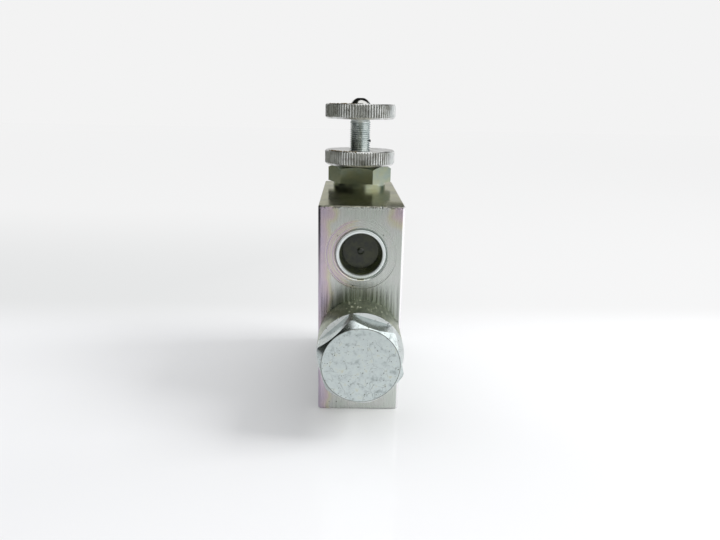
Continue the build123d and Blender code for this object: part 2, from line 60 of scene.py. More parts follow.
forward = np.array((
    -math.sin(YAW) * math.cos(PITCH), math.cos(YAW) * math.cos(PITCH), -math.sin(PITCH),
))
level = np.array((math.cos(YAW), math.sin(YAW), 0.0))
upright = np.cross(level, forward)
right = math.cos(ROLL) * level + math.sin(ROLL) * upright
up = math.cos(ROLL) * upright - math.sin(ROLL) * level
camera = bpy.data.objects.new("camera", bpy.data.cameras.new("camera"))
camera.data.lens = LENS_MM
camera.data.clip_start = NEAREST
camera.matrix_world = axes_and_place(right, up, -forward, EYE)
bpy.context.scene.collection.objects.link(camera)
bpy.context.scene.camera = camera
bpy.context.scene.view_settings.view_transform = "Standard"


# The floor and the studio
# A white acrylic board that shows a faint mirror image, in a pale studio. Metal sees what the
# photographer's room had: white board and backdrop, a lit ceiling, a bright right, a dark left.
BOARD_HALF = 3.0
BOARD_LEFT, BOARD_RIGHT, BOARD_FRONT = -0.36, 0.8, -0.62  # where metal sees the board end
BOARD_FADE = 0.08
BACKDROP_Y = 0.036  # behind the block the board glows for the camera as the backdrop's paper
EASED = {"interpolation_type": "SMOOTHSTEP"}  # a Map Range that starts and ends softly


def srgb(colour):
    """Linear RGBA of an sRGB hex colour."""
    parts = [int(colour[i:i + 2], 16) / 255 for i in (1, 3, 5)]
    return (*[p / 12.92 if p <= 0.04045 else ((p + 0.055) / 1.055) ** 2.4 for p in parts], 1.0)


def add(tree, kind, *ordered, inputs=None, out=0, stops=(), **settings):
    """Adds a shader node and gives one of its output sockets. The ordered values go to its first
    inputs and the others are named or numbered; each is a constant or the socket that feeds it.
    Stops are a ramp's places and colours in rising order, and settings are its other properties."""
    node = tree.nodes.new("ShaderNode" + kind)
    for name, value in settings.items():
        setattr(node, name, value)
    for key, value in (dict(enumerate(ordered)) | (inputs or {})).items():
        if isinstance(value, bpy.types.NodeSocket):
            tree.links.new(value, node.inputs[key])
        else:
            node.inputs[key].default_value = value
    for index, (place, colour) in enumerate(stops):
        row = node.color_ramp.elements
        element = row[index] if index < 2 else row.new(place)
        element.position, element.color = place, srgb(colour)
    return node.outputs[out] if len(node.outputs) else None


def new_material(name):
    """An empty node material and its tree."""
    material = bpy.data.materials.new(name)
    material.use_nodes = True
    material.node_tree.nodes.clear()
    return material, material.node_tree


board_mesh = bpy.data.meshes.new("board")
corners = [(-1, -1), (1, -1), (1, 1), (-1, 1)]
board_corners = [(x * BOARD_HALF, y * BOARD_HALF, 0) for x, y in corners]
board_mesh.from_pydata(board_corners, [], [(0, 1, 2, 3)])
board = bpy.data.objects.new("board", board_mesh)
bpy.context.scene.collection.objects.link(board)

# Cast acrylic with a polished face: near white, with a weak, slightly soft mirror image.
acrylic, tree = new_material("polished_white_acrylic")
x = add(tree, "SeparateXYZ", add(tree, "TexCoord", out="Object"))
y = x.node.outputs[1]
gloss = add(tree, "BsdfPrincipled", inputs={
    "Base Color": srgb("#f3f3f4"), "Roughness": 0.07, "IOR": 1.49, "Specular IOR Level": 0.25,
})

# Behind the block the camera sees the backdrop's paper as a glow, a little greyer at the left with
# a painted shadow of the block.
PAPER_LEFT_TO_RIGHT, PAPER_FAR = (-0.16, 0.12), (0.08, 0.45)
TURN_UP = (BACKDROP_Y - 0.02, BACKDROP_Y + 0.05)
rightward = add(tree, "MapRange", x, *PAPER_LEFT_TO_RIGHT, **EASED)
far_off = add(tree, "MapRange", y, *PAPER_FAR, **EASED)
lighter = add(tree, "Math", rightward, far_off, operation="MAXIMUM")
# The grey at the left is a painted shadow of the block, fading to the right and farther back.
paper_and_shadow_tones = {6: srgb("#e3e4e4"), 7: srgb("#f3f3f3")}
paper = add(tree, "Mix", lighter, inputs=paper_and_shadow_tones, out=2, data_type="RGBA")
behind = add(tree, "MapRange", y, *TURN_UP, 0.0, 0.85, **EASED)
camera_ray = add(tree, "LightPath", out="Is Camera Ray")
turned_up = add(tree, "Math", behind, camera_ray, operation="MULTIPLY")
seen = add(tree, "MixShader", turned_up, gloss, add(tree, "Emission", paper))

# Past the board's ends metal sees the room: nearly black beside the block, olive farther
# off, blue-grey at the right.
DARK_MIDDLE_Y, DARK_REACH, BLUE_REACH = -0.1, (0.2, 0.35), (0.3, 0.6)
not_left = add(tree, "MapRange", x, BOARD_LEFT - BOARD_FADE, BOARD_LEFT + BOARD_FADE)
not_front = add(tree, "MapRange", y, BOARD_FRONT - BOARD_FADE, BOARD_FRONT + BOARD_FADE)
not_right = add(tree, "MapRange", x, BOARD_RIGHT + BOARD_FADE, BOARD_RIGHT - BOARD_FADE)
on_board = add(tree, "Math", not_left, not_front, operation="MULTIPLY")
on_board = add(tree, "Math", on_board, not_right, operation="MULTIPLY")
off_board = add(tree, "Math", 1.0, on_board, operation="SUBTRACT")
glossy_ray = add(tree, "LightPath", out="Is Glossy Ray")
room_seen = add(tree, "Math", off_board, glossy_ray, operation="MULTIPLY")
beside = add(tree, "Math", y, DARK_MIDDLE_Y, operation="SUBTRACT")
beside = add(tree, "Math", beside, operation="ABSOLUTE")
olive = add(tree, "MapRange", beside, *DARK_REACH)
room_tones = {6: srgb("#121211"), 7: srgb("#6b6e5f")}
room = add(tree, "Mix", olive, inputs=room_tones, out=2, data_type="RGBA")
blue = add(tree, "MapRange", x, *BLUE_REACH)
room = add(tree, "Mix", blue, inputs={6: room, 7: srgb("#93a6ab")}, out=2, data_type="RGBA")
seen = add(tree, "MixShader", room_seen, seen, add(tree, "Emission", room))
add(tree, "OutputMaterial", seen)
board_mesh.materials.append(acrylic)

# The studio all round, by direction. Bearings are in degrees, 0 towards the camera and rising
# to the right; heights are the sine of the angle above the floor. In each pair what is named
# is absent at the first number and full at the second.
WINDOW_START, WINDOW_END = (20, 34), (116, 98)
PAPER_BEARING, PAPER_HEIGHT = (136, 148), (0.55, 0.42)
SOFTBOX_WAY, SOFTBOX_EDGE = (0.15, -0.42, 0.89), (0.80, 0.88)
CEILING_HEIGHT, CEILING_BACK, DARK_LEFT = (0.45, 0.6), (-0.1, 0.1), (-0.25, -0.6)
FAR_WALL_BEARING = (100, 112)
PAPER_LEVEL, LAMP_LEVEL = 0.88, 1.6
WALL_TONES = {6: srgb("#666959"), 7: srgb("#272924")}
PLAIN_TONES = {6: srgb("#e8e9ea"), 7: srgb("#f3f3f3")}  # for the diffuse light, for the camera

world = bpy.data.worlds.new("studio")
world.use_nodes = True
world.node_tree.nodes.clear()
bpy.context.scene.world = world
tree = world.node_tree
toward = add(tree, "TexCoord", out="Generated")
toward_x = add(tree, "SeparateXYZ", toward)
toward_y, toward_z = toward_x.node.outputs[1], toward_x.node.outputs[2]
toward_front = add(tree, "Math", toward_y, -1.0, operation="MULTIPLY")
bearing = add(tree, "Math", toward_x, toward_front, operation="ARCTAN2")

window_start = add(tree, "MapRange", bearing, *map(math.radians, WINDOW_START), **EASED)
window_end = add(tree, "MapRange", bearing, *map(math.radians, WINDOW_END), **EASED)
window = add(tree, "Math", window_start, window_end, operation="MULTIPLY")
softbox = add(tree, "VectorMath", toward, SOFTBOX_WAY, out="Value", operation="DOT_PRODUCT")
softbox = add(tree, "MapRange", softbox, *SOFTBOX_EDGE, **EASED)
lamps = add(tree, "Math", window, softbox, operation="MAXIMUM")
lamps = add(tree, "Math", lamps, LAMP_LEVEL, operation="MULTIPLY")

low_down = add(tree, "MapRange", toward_z, *PAPER_HEIGHT, **EASED)
backward = add(tree, "Math", bearing, operation="ABSOLUTE")
backdrop = add(tree, "MapRange", backward, *map(math.radians, PAPER_BEARING), **EASED)
backdrop = add(tree, "Math", backdrop, low_down, operation="MULTIPLY")
paper = add(tree, "Math", backdrop, PAPER_LEVEL, operation="MULTIPLY")
lit = add(tree, "Math", paper, lamps, operation="MAXIMUM")
lit = add(tree, "CombineXYZ", lit, lit, lit)

leftward = add(tree, "MapRange", toward_x, *DARK_LEFT, **EASED)
walls = add(tree, "Mix", leftward, inputs=WALL_TONES, out=2, data_type="RGBA")
high_up = add(tree, "MapRange", toward_z, *CEILING_HEIGHT, **EASED)
at_back = add(tree, "MapRange", toward_y, *CEILING_BACK, **EASED)
ceiling = add(tree, "Math", high_up, at_back, operation="MULTIPLY")
walls = add(tree, "Mix", ceiling, inputs={6: walls, 7: srgb("#1e1f1e")}, out=2, data_type="RGBA")
far_wall = add(tree, "MapRange", bearing, *map(math.radians, FAR_WALL_BEARING), **EASED)
far_wall = add(tree, "Math", far_wall, low_down, operation="MULTIPLY")
walls = add(tree, "Mix", far_wall, inputs={6: walls, 7: srgb("#8fa1a6")}, out=2, data_type="RGBA")
mirrored = add(tree, "Mix", 1.0, inputs={6: walls, 7: lit}, out=2,
               data_type="RGBA", blend_type="LIGHTEN")

glossy_ray = add(tree, "LightPath", out="Is Glossy Ray")
camera_ray = glossy_ray.node.outputs["Is Camera Ray"]
shown = add(tree, "Mix", camera_ray, inputs=PLAIN_TONES, out=2, data_type="RGBA")
shown = add(tree, "Mix", glossy_ray, inputs={6: shown, 7: mirrored}, out=2, data_type="RGBA")
add(tree, "OutputWorld", add(tree, "Background", shown))

LAMP_PLACE, LAMP_AIM, LAMP_SIDE, LAMP_WATTS = (0.8, -0.1, 0.72), (0, -0.02, 0.06), 0.45, 6.0
lamp = bpy.data.objects.new("right_window", bpy.data.lights.new("right_window", "AREA"))
lamp.data.size = LAMP_SIDE
lamp.data.energy = LAMP_WATTS
lamp.visible_camera = False
lamp.visible_glossy = False
away = np.array(LAMP_PLACE) - LAMP_AIM
away /= np.linalg.norm(away)
across = np.cross((0, 1, 0), away)
across /= np.linalg.norm(across)
lamp.matrix_world = axes_and_place(across, np.cross(away, across), away, LAMP_PLACE)
bpy.context.scene.collection.objects.link(lamp)


# The valve block
# Cold-drawn flat steel bar, sawn at the front and rear, drilled, then zinc plated and given an
# iridescent passivation. The saw leaves upright lines, and the rims are chipped where they were
# knocked; the right rim's brightness is a painted highlight. Sizes are in millimetres.
SAW_LINE, BAR_LINE, BLOTCH, PIT_SPACING, PIT_RADIUS = 0.9, 0.6, 9.0, 3.0, 0.36
RINGS_PER_MM, GRITS_PER_MM = 1.6, 1.7
FLAT = 0.7  # a face is the front, rear or top where its normal has this much of that direction
PORT_Z, SPOT_RADIUS, SPOT_Y = 70.0, 14.8, -60.0
INLET_Z, BYPASS_Y, PORT_PITCH, PORT_RADIUS, RUN_OUT = 33.5, -23.0, 1.814, 9.5, 0.3
INLET_THREAD, BYPASS_THREAD = (3.0, 16.4), (1.6, 15.0)
FILM_LEFT, FILM_HIGH, FILM_SIDES, RING_FILM = (-9.0, -17.0), (76.0, 88.0), (7.0, 16.0), (7.0, -13.0)
FILM_SHARE, CLOUD_SHARE = 0.5, 0.62  # of the tint: from the places above, and from the blotches
COLLAR_REFLECTION_TOP, COLLAR_REFLECTION_BOTTOM = (61.0, 50.0), (34.0, 46.0)  # a painted reflection of the plug's collar darkens the saw lines over the plug
UNREFLECTED_SHADE, REFLECTION_DEPTH, GROOVE_DEPTH = 1.08, (0.06, 0.5), (0.45, 1.0)  # away from the plug; near it, the painted reflection and the grooves
FRONT_EDGE, TOP_EDGE = (-60.2, -61.2), (88.6, 89.5)
CORNER_X, CORNER_Y = (8.5, 13.0), (-44.0, -57.0)
LEFT_EDGE, LEFT_EDGE_Y, LEFT_EDGE_Z = (-16.5, -16.8), (-60.5, -61.2), (50.0, 85.0)
RIGHT_EDGE, RIGHT_EDGE_Y = (16.6, 16.8), (-60.8, -61.2)


def in_millimetres(tree):
    """The place on the piece times 1000, so in millimetres."""
    place = add(tree, "TexCoord", out="Object")
    return add(tree, "VectorMath", place, inputs={"Scale": 1000.0}, operation="SCALE")


def lines_along(tree, mm, wide, direction):
    """Noise drawn out along one direction: the place times the direction's shrinking factors,
    in cells that are wide millimetres across the grain."""
    place = add(tree, "VectorMath", mm, direction, operation="MULTIPLY")
    grain = {"Vector": place, "Scale": 1 / wide, "Detail": 2.0, "Roughness": 0.6}
    return add(tree, "TexNoise", inputs=grain)


def dress(name, material):
    """Gives a CAD node its material."""
    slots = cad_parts[name].data.materials
    slots.clear()
    slots.append(material)


# Zinc plate over saw marks: a dull silver that shines in upright lines, with lilac and straw
# clouds where the passivation lies thick. The lines are as coarse as the photograph shows them,
# which keeps them wider than the render's pixels.
sawn_steel, tree = new_material("zinc_plated_sawn_steel")
mm = in_millimetres(tree)
x = add(tree, "SeparateXYZ", mm)
y, z = x.node.outputs[1], x.node.outputs[2]
off_middle = add(tree, "Math", x, operation="ABSOLUTE")
facing = add(tree, "SeparateXYZ", add(tree, "TexCoord", out="Normal"))
facing_y = add(tree, "Math", facing.node.outputs[1], operation="ABSOLUTE")
sawn = add(tree, "Math", facing_y, FLAT, operation="GREATER_THAN")
top = add(tree, "Math", facing.node.outputs[2], FLAT, operation="GREATER_THAN")

# Marks: saw lines at the front and rear, drawing lines elsewhere, rings in the port's spot face.
saw_lines = lines_along(tree, mm, SAW_LINE, (1, 0, 0.02))
bar_lines = lines_along(tree, mm, BAR_LINE, (1, 0.02, 1))
lines = add(tree, "Mix", sawn, inputs={2: bar_lines, 3: saw_lines}, data_type="FLOAT")
port_z = add(tree, "Math", z, PORT_Z, operation="SUBTRACT")
port_arm = add(tree, "CombineXYZ", x, 0.0, port_z)
port_radius = add(tree, "VectorMath", port_arm, out="Value", operation="LENGTH")
near_port = add(tree, "Math", port_radius, SPOT_RADIUS, operation="LESS_THAN")
in_front = add(tree, "Math", y, SPOT_Y, operation="LESS_THAN")
spot = add(tree, "Math", near_port, in_front, operation="MULTIPLY")
ring_place = add(tree, "CombineXYZ", port_radius)
rings = add(tree, "TexNoise", inputs={"Vector": ring_place, "Scale": RINGS_PER_MM, "Detail": 2.0})
marks = add(tree, "Mix", spot, inputs={2: lines, 3: rings}, data_type="FLOAT")

# Film: lilac along the left edge, in the upper corners and in the left half of the rings.
blotch = add(tree, "TexNoise", inputs={"Vector": mm, "Scale": 1 / BLOTCH, "Detail": 3.0})
film_left = add(tree, "MapRange", x, *FILM_LEFT, **EASED)
film_high = add(tree, "MapRange", z, *FILM_HIGH, **EASED)
film_sides = add(tree, "MapRange", off_middle, *FILM_SIDES, **EASED)
film_corners = add(tree, "Math", film_high, film_sides, operation="MULTIPLY")
film = add(tree, "Math", film_left, film_corners, operation="MAXIMUM")
film = add(tree, "Math", film, sawn, operation="MULTIPLY")
ring_left = add(tree, "MapRange", x, *RING_FILM, **EASED)
ring_crest = add(tree, "MapRange", rings, 0.3, 0.62, **EASED)
ring_film = add(tree, "Math", ring_left, ring_crest, operation="MULTIPLY")
film = add(tree, "Mix", spot, inputs={2: film, 3: ring_film}, data_type="FLOAT")
cloud = add(tree, "Math", blotch, CLOUD_SHARE, operation="MULTIPLY")
film = add(tree, "Math", film, FILM_SHARE, cloud, operation="MULTIPLY_ADD")
tint = add(tree, "ValToRGB", film, stops=(
    (0.28, "#c9cec9"), (0.42, "#cccdcb"), (0.54, "#cfcbb6"), (0.66, "#d0c0c6"), (0.86, "#c3b6c9"),
))

# Streaks: a painted reflection of the plug's collar darkens the saw lines in a band over the plug,
# and hardly elsewhere.
reflection_top = add(tree, "MapRange", z, *COLLAR_REFLECTION_TOP, **EASED)
reflection_bottom = add(tree, "MapRange", z, *COLLAR_REFLECTION_BOTTOM, **EASED)
near_plug = add(tree, "Math", reflection_top, reflection_bottom, operation="MULTIPLY")
near_plug = add(tree, "Math", near_plug, sawn, operation="MULTIPLY")
crest = add(tree, "MapRange", lines, 0.36, 0.62, **EASED)
valley = add(tree, "Math", 1.0, crest, operation="SUBTRACT")
depth = add(tree, "MapRange", near_plug, 0.0, 1.0, *REFLECTION_DEPTH)
# The darkened valleys are the painted reflection of the plug's collar.
collar_reflection = add(tree, "Math", depth, valley, operation="MULTIPLY")
shade = add(tree, "Math", UNREFLECTED_SHADE, collar_reflection, operation="SUBTRACT")
colour = add(tree, "VectorMath", tint, inputs={"Scale": shade}, operation="SCALE")

# The top is stained olive and buff, and the left edge is darkened by painted shade.
stained = add(tree, "MapRange", blotch, 0.3, 0.6, **EASED)
stain_tones = {6: srgb("#a0a097"), 7: srgb("#bab9a5")}
top_tint = add(tree, "Mix", stained, inputs=stain_tones, out=2, data_type="RGBA")
colour = add(tree, "Mix", top, inputs={6: colour, 7: top_tint}, out=2, data_type="RGBA")
edge_x = add(tree, "MapRange", x, *LEFT_EDGE, **EASED)
edge_y = add(tree, "MapRange", y, *LEFT_EDGE_Y, **EASED)
edge_z = add(tree, "MapRange", z, *LEFT_EDGE_Z, **EASED)
left_rim_shade = add(tree, "Math", edge_x, edge_z, operation="MULTIPLY")
left_rim_shade = add(tree, "Math", left_rim_shade, edge_y, operation="MULTIPLY")
# Painted shade on the chamfer of the left front edge.
left_shade_tones = {6: colour, 7: srgb("#6f6a72")}
colour = add(tree, "Mix", left_rim_shade, inputs=left_shade_tones, out=2, data_type="RGBA")

# Wear: the front of the top edge and the top's right front corner are chipped. The right
# edge is brightened by a painted highlight.
grit_grain = {"Vector": mm, "Scale": GRITS_PER_MM, "Detail": 3.0, "Roughness": 0.7}
grit = add(tree, "TexNoise", inputs=grit_grain)
rim_z = add(tree, "MapRange", z, *TOP_EDGE, **EASED)
rim_y = add(tree, "MapRange", y, *FRONT_EDGE, **EASED)
front_rim = add(tree, "Math", rim_z, rim_y, operation="MULTIPLY")
corner_x = add(tree, "MapRange", x, *CORNER_X, **EASED)
corner_y = add(tree, "MapRange", y, *CORNER_Y, **EASED)
corner_wear = add(tree, "Math", corner_x, corner_y, operation="MULTIPLY")
corner_wear = add(tree, "Math", corner_wear, top, operation="MULTIPLY")
worn = add(tree, "Math", front_rim, corner_wear, operation="MAXIMUM")
chip = add(tree, "MapRange", grit, 0.56, 0.42, **EASED)
chipped = add(tree, "Math", worn, chip, operation="MULTIPLY")
chip_tones = {6: colour, 7: srgb("#54554f")}
colour = add(tree, "Mix", chipped, inputs=chip_tones, out=2, data_type="RGBA")
# A painted highlight on the chamfer of the right front edge.
edge_x = add(tree, "MapRange", x, *RIGHT_EDGE, **EASED)
edge_y = add(tree, "MapRange", y, *RIGHT_EDGE_Y, **EASED)
right_rim_highlight = add(tree, "Math", edge_x, edge_y, operation="MULTIPLY")
right_highlight_tones = {6: colour, 7: srgb("#f4f2f4")}
colour = add(tree, "Mix", right_rim_highlight, inputs=right_highlight_tones, out=2, data_type="RGBA")

# Pits in the plating: one in each cell, and only in the cells picked by their random colour.
pit_cells = {"Vector": mm, "Scale": 1 / PIT_SPACING, "Randomness": 1.0}
pit = add(tree, "TexVoronoi", inputs=pit_cells, out="Distance")
pit_pick = add(tree, "SeparateXYZ", pit.node.outputs["Color"])
pit_size = add(tree, "MapRange", pit_pick, 0.45, 1.0, 0.0, PIT_RADIUS / PIT_SPACING)
pitted = add(tree, "Math", pit, pit_size, operation="LESS_THAN")
pit_tones = {6: colour, 7: srgb("#4a4640")}
colour = add(tree, "Mix", pitted, inputs=pit_tones, out=2, data_type="RGBA")

# Gloss: duller in the marks, dullest where it is worn or where grit sparkles on the top.
coarse = add(tree, "Math", grit, 0.66, operation="GREATER_THAN")
sparkle = add(tree, "Math", coarse, top, operation="MULTIPLY")
rough = add(tree, "MapRange", marks, 0.3, 0.7, 0.2, 0.34)
rough = add(tree, "Mix", top, inputs={2: rough, 3: 0.15}, data_type="FLOAT")
dull = add(tree, "Math", worn, sparkle, operation="MAXIMUM")
dull = add(tree, "Math", dull, 0.35, operation="MULTIPLY")
rough = add(tree, "Math", rough, dull, operation="ADD")
groove = add(tree, "MapRange", near_plug, 0.0, 1.0, *GROOVE_DEPTH)
relief = add(tree, "Math", marks, groove, operation="MULTIPLY")
dents = add(tree, "Math", worn, grit, operation="MULTIPLY")
relief = add(tree, "Math", relief, dents, operation="ADD")

# The pipe threads of the hidden ports: a wave along the axis that one turn round moves on by
# one pitch, and that fades out at both ends.
tapped = 0.0
inlet_z = add(tree, "Math", z, INLET_Z, operation="SUBTRACT")
bypass_y = add(tree, "Math", y, BYPASS_Y, operation="SUBTRACT")
for side, along, (start, end) in ((inlet_z, y, INLET_THREAD), (bypass_y, z, BYPASS_THREAD)):
    bore_arm = add(tree, "CombineXYZ", x, side)
    bore_radius = add(tree, "VectorMath", bore_arm, out="Value", operation="LENGTH")
    turn = add(tree, "Math", side, x, operation="ARCTAN2")
    turn = add(tree, "Math", turn, 2 * math.pi, operation="DIVIDE")
    advance = add(tree, "Math", along, PORT_PITCH, operation="DIVIDE")
    advance = add(tree, "Math", advance, turn, operation="SUBTRACT")
    wave = add(tree, "Math", advance, 0.5, operation="PINGPONG")
    run_in = add(tree, "MapRange", along, start, start + RUN_OUT, **EASED)
    run_out = add(tree, "MapRange", along, end, end - RUN_OUT, **EASED)
    inside = add(tree, "Math", run_in, run_out, operation="MULTIPLY")
    in_bore = add(tree, "Math", bore_radius, PORT_RADIUS, operation="LESS_THAN")
    inside = add(tree, "Math", inside, in_bore, operation="MULTIPLY")
    tapped = add(tree, "Math", wave, inside, tapped, operation="MULTIPLY_ADD")
thread_relief = {"Height": tapped, "Strength": 1.0, "Distance": 0.0016}
thread = add(tree, "Bump", inputs=thread_relief)
mark_relief = {"Height": relief, "Strength": 0.4, "Distance": 0.00008, "Normal": thread}
bump = add(tree, "Bump", inputs=mark_relief)
edge_tones = {6: srgb("#e6e6e6"), 7: srgb("#cdcdc2")}
edge_tone = add(tree, "Mix", top, inputs=edge_tones, out=2, data_type="RGBA")
skin = add(tree, "BsdfPrincipled", inputs={
    "Base Color": colour, "Metallic": 1.0, "Roughness": rough, "Normal": bump,
    "Specular Tint": edge_tone,
})
add(tree, "OutputMaterial", skin)
dress("valve_body", sawn_steel)


# The plug over the compensator
# Turned from round bar, its hexagon milled, then zinc plated. The faces are scratched and pitted
# from handling, and the collar is dull and speckled where the plating has stained. Sizes are in
# millimetres.
PLUG_AXIS_Z, DISC_RADIUS, DISC_Y, COLLAR_FRONT_Y = 33.5, 15.15, -89.7, -78.9
STAIN, SCRATCH, SPECK, FLECK = 3.0, 4.5, 0.9, 1.1
PATCHES_PER_MM, BENDS_PER_MM, SCRATCH_BEND = 0.35, 0.16, (14, 14, 14)
SCRATCH_HALF, SCRATCH_LEVEL, RIM_WIDTH = 0.045, 0.55, (0.25, 0.1)
FACED = -0.9  # a face counts as turned flat where its normal points this far to the front

# Zinc plate over a turned face: pale and slightly blue, with grey scratches. The crescents of
# the collar, where the mill ran out, are chalky and smear light outwards, and their near white is
# a painted highlight of the ceiling light.
turned_steel, tree = new_material("zinc_plated_turned_steel")
mm = in_millimetres(tree)
x = add(tree, "SeparateXYZ", mm)
y, z = x.node.outputs[1], x.node.outputs[2]
plug_z = add(tree, "Math", z, PLUG_AXIS_Z, operation="SUBTRACT")
arm = add(tree, "CombineXYZ", x, 0.0, plug_z)
radius = add(tree, "VectorMath", arm, out="Value", operation="LENGTH")
facing_y = add(tree, "SeparateXYZ", add(tree, "TexCoord", out="Normal"), out=1)
faced = add(tree, "Math", facing_y, FACED, operation="LESS_THAN")
on_disc = add(tree, "Math", y, DISC_Y, operation="LESS_THAN")
off_disc = add(tree, "Math", 1.0, on_disc, operation="SUBTRACT")
shoulder = add(tree, "Math", faced, off_disc, operation="MULTIPLY")
on_collar = add(tree, "Math", y, COLLAR_FRONT_Y, operation="GREATER_THAN")

stain_grain = {"Vector": mm, "Scale": 1 / STAIN, "Detail": 5.0, "Roughness": 0.65}
stain = add(tree, "TexNoise", inputs=stain_grain)
tint = add(tree, "ValToRGB", stain, stops=(
    (0.32, "#aab4b4"), (0.45, "#c9d2d2"), (0.58, "#d0d9d8"), (0.7, "#c9ccbe"),
))
collar_tint = add(tree, "ValToRGB", stain, stops=((0.35, "#858f7c"), (0.6, "#a4ab93")))
collar_tones = {6: tint, 7: collar_tint}
colour = add(tree, "Mix", on_collar, inputs=collar_tones, out=2, data_type="RGBA")
# The shoulder's near white is a painted highlight of the ceiling light.
shoulder_highlight_tones = {6: colour, 7: srgb("#f2f5f4")}
colour = add(tree, "Mix", shoulder, inputs=shoulder_highlight_tones, out=2, data_type="RGBA")

# Dark specks all over, and pale flecks of zinc salt on the collar.
speck = add(tree, "TexVoronoi", inputs={"Vector": mm, "Scale": 1 / SPECK}, out="Distance")
speck_pick = add(tree, "SeparateXYZ", speck.node.outputs["Color"])
speck_size = add(tree, "MapRange", speck_pick, 0.45, 1.0, 0.0, 0.3)
specked = add(tree, "Math", speck, speck_size, operation="LESS_THAN")
fleck = add(tree, "TexVoronoi", inputs={"Vector": mm, "Scale": 1 / FLECK}, out="Distance")
fleck_pick = add(tree, "SeparateXYZ", fleck.node.outputs["Color"])
fleck_size = add(tree, "MapRange", fleck_pick, 0.3, 1.0, 0.0, 0.42)
flecked = add(tree, "Math", fleck, fleck_size, operation="LESS_THAN")
flecked = add(tree, "Math", flecked, on_collar, operation="MULTIPLY")
specked = add(tree, "Math", specked, flecked, operation="MAXIMUM")
speck_tones = {6: srgb("#818882"), 7: srgb("#b9bda4")}
speck_tone = add(tree, "Mix", on_collar, inputs=speck_tones, out=2, data_type="RGBA")

# Scratches: the borders of cells that a slow noise bends, and only in patches.
bend = {"Vector": mm, "Scale": BENDS_PER_MM, "Detail": 1.0}
wander = add(tree, "TexNoise", inputs=bend, out="Color")
bent = add(tree, "VectorMath", wander, SCRATCH_BEND, mm, operation="MULTIPLY_ADD")
scratch_cells = {"Vector": bent, "Scale": 1 / SCRATCH}
scratch = add(tree, "TexVoronoi", inputs=scratch_cells, feature="DISTANCE_TO_EDGE")
patchy = add(tree, "TexNoise", inputs={"Vector": mm, "Scale": PATCHES_PER_MM})
patchy = add(tree, "MapRange", patchy, 0.45, 0.6, **EASED)
patchy = add(tree, "Math", patchy, SCRATCH_LEVEL, operation="MULTIPLY")
scratched = add(tree, "MapRange", scratch, SCRATCH_HALF, 0.0, **EASED)
scratched = add(tree, "Math", scratched, patchy, operation="MULTIPLY")
scratch_tones = {6: colour, 7: srgb("#7f8785")}
colour = add(tree, "Mix", scratched, inputs=scratch_tones, out=2, data_type="RGBA")
colour = add(tree, "Mix", specked, inputs={6: colour, 7: speck_tone}, out=2, data_type="RGBA")
rim_start, rim_full = (DISC_RADIUS - width for width in RIM_WIDTH)
disc_rim = add(tree, "MapRange", radius, rim_start, rim_full, **EASED)
disc_rim = add(tree, "Math", disc_rim, on_disc, operation="MULTIPLY")
rim_tones = {6: colour, 7: srgb("#6d716b")}
colour = add(tree, "Mix", disc_rim, inputs=rim_tones, out=2, data_type="RGBA")

# Gloss: the disc is dull, the collar a little duller than the flats, the shoulder chalky.
rough = add(tree, "Mix", on_disc, inputs={2: 0.2, 3: 0.4}, data_type="FLOAT")
duller = add(tree, "Math", on_collar, 0.14, operation="MULTIPLY")
rough = add(tree, "Math", rough, duller, operation="ADD")
rough = add(tree, "Mix", shoulder, inputs={2: rough, 3: 0.62}, data_type="FLOAT")
smeared = add(tree, "Math", shoulder, 0.9, operation="MULTIPLY")
salted = add(tree, "Math", specked, on_collar, operation="MULTIPLY")
chalky = add(tree, "Math", smeared, salted, operation="MAXIMUM")
metal = add(tree, "Math", 1.0, chalky, operation="SUBTRACT")
outward = add(tree, "VectorMath", arm, operation="NORMALIZE")
pits = add(tree, "Math", specked, 0.3, operation="MULTIPLY")
relief = add(tree, "Math", stain, pits, operation="SUBTRACT")
bump = add(tree, "Bump", inputs={"Height": relief, "Strength": 0.3, "Distance": 0.0001})
skin = add(tree, "BsdfPrincipled", inputs={
    "Base Color": colour, "Metallic": metal, "Roughness": rough, "Normal": bump,
    "Anisotropic": smeared, "Tangent": outward,
})
add(tree, "OutputMaterial", skin)
dress("compensator_plug", turned_steel)


# The bonnet
# Hexagon bar, turned and zinc plated with a greenish passivation, screwed hard down on the
# block. Under the plate lie soft clouds of stain, 4 mm across.
BONNET_STAIN = 4.0


def finish(tree, tint, metallic, rough, cloud, strength, depth):
    """Ends a material: a principled shader with a bump whose height is the cloud."""
    bump = add(tree, "Bump", inputs={"Height": cloud, "Strength": strength, "Distance": depth})
    skin = add(tree, "BsdfPrincipled", inputs={
        "Base Color": tint, "Metallic": metallic, "Roughness": rough, "Normal": bump,
    })
    add(tree, "OutputMaterial", skin)


# Zinc plate over drawn bar: a fairly sharp gloss with a green-grey cast.
drawn_steel, tree = new_material("zinc_plated_hexagon_bar")
mm = in_millimetres(tree)
stain = add(tree, "TexNoise", inputs={"Vector": mm, "Scale": 1 / BONNET_STAIN, "Detail": 4.0})
tint = add(tree, "ValToRGB", stain, stops=((0.35, "#b0b9ab"), (0.65, "#b9bb9f")))
rough = add(tree, "MapRange", stain, 0.0, 1.0, 0.16, 0.3)
finish(tree, tint, 1.0, rough, stain, 0.25, 0.0001)
dress("bonnet", drawn_steel)


# The port cap
# Soft polyethylene, moulded thin and pushed into the front port; its dark inside is painted shade
# of the bore behind it. Its lip is rounded by a bump: LIP_HEIGHT is how far the crest stands over a
# place LIP_HALF away from it. Sizes are in millimetres.
LIP_CREST, LIP_HALF, LIP_HEIGHT, LIP_START = 9.6, 0.7, 0.22, (8.7, 9.3)
CAP_CLOUD, CAP_CLOUD_HEIGHT = 3.0, 0.02
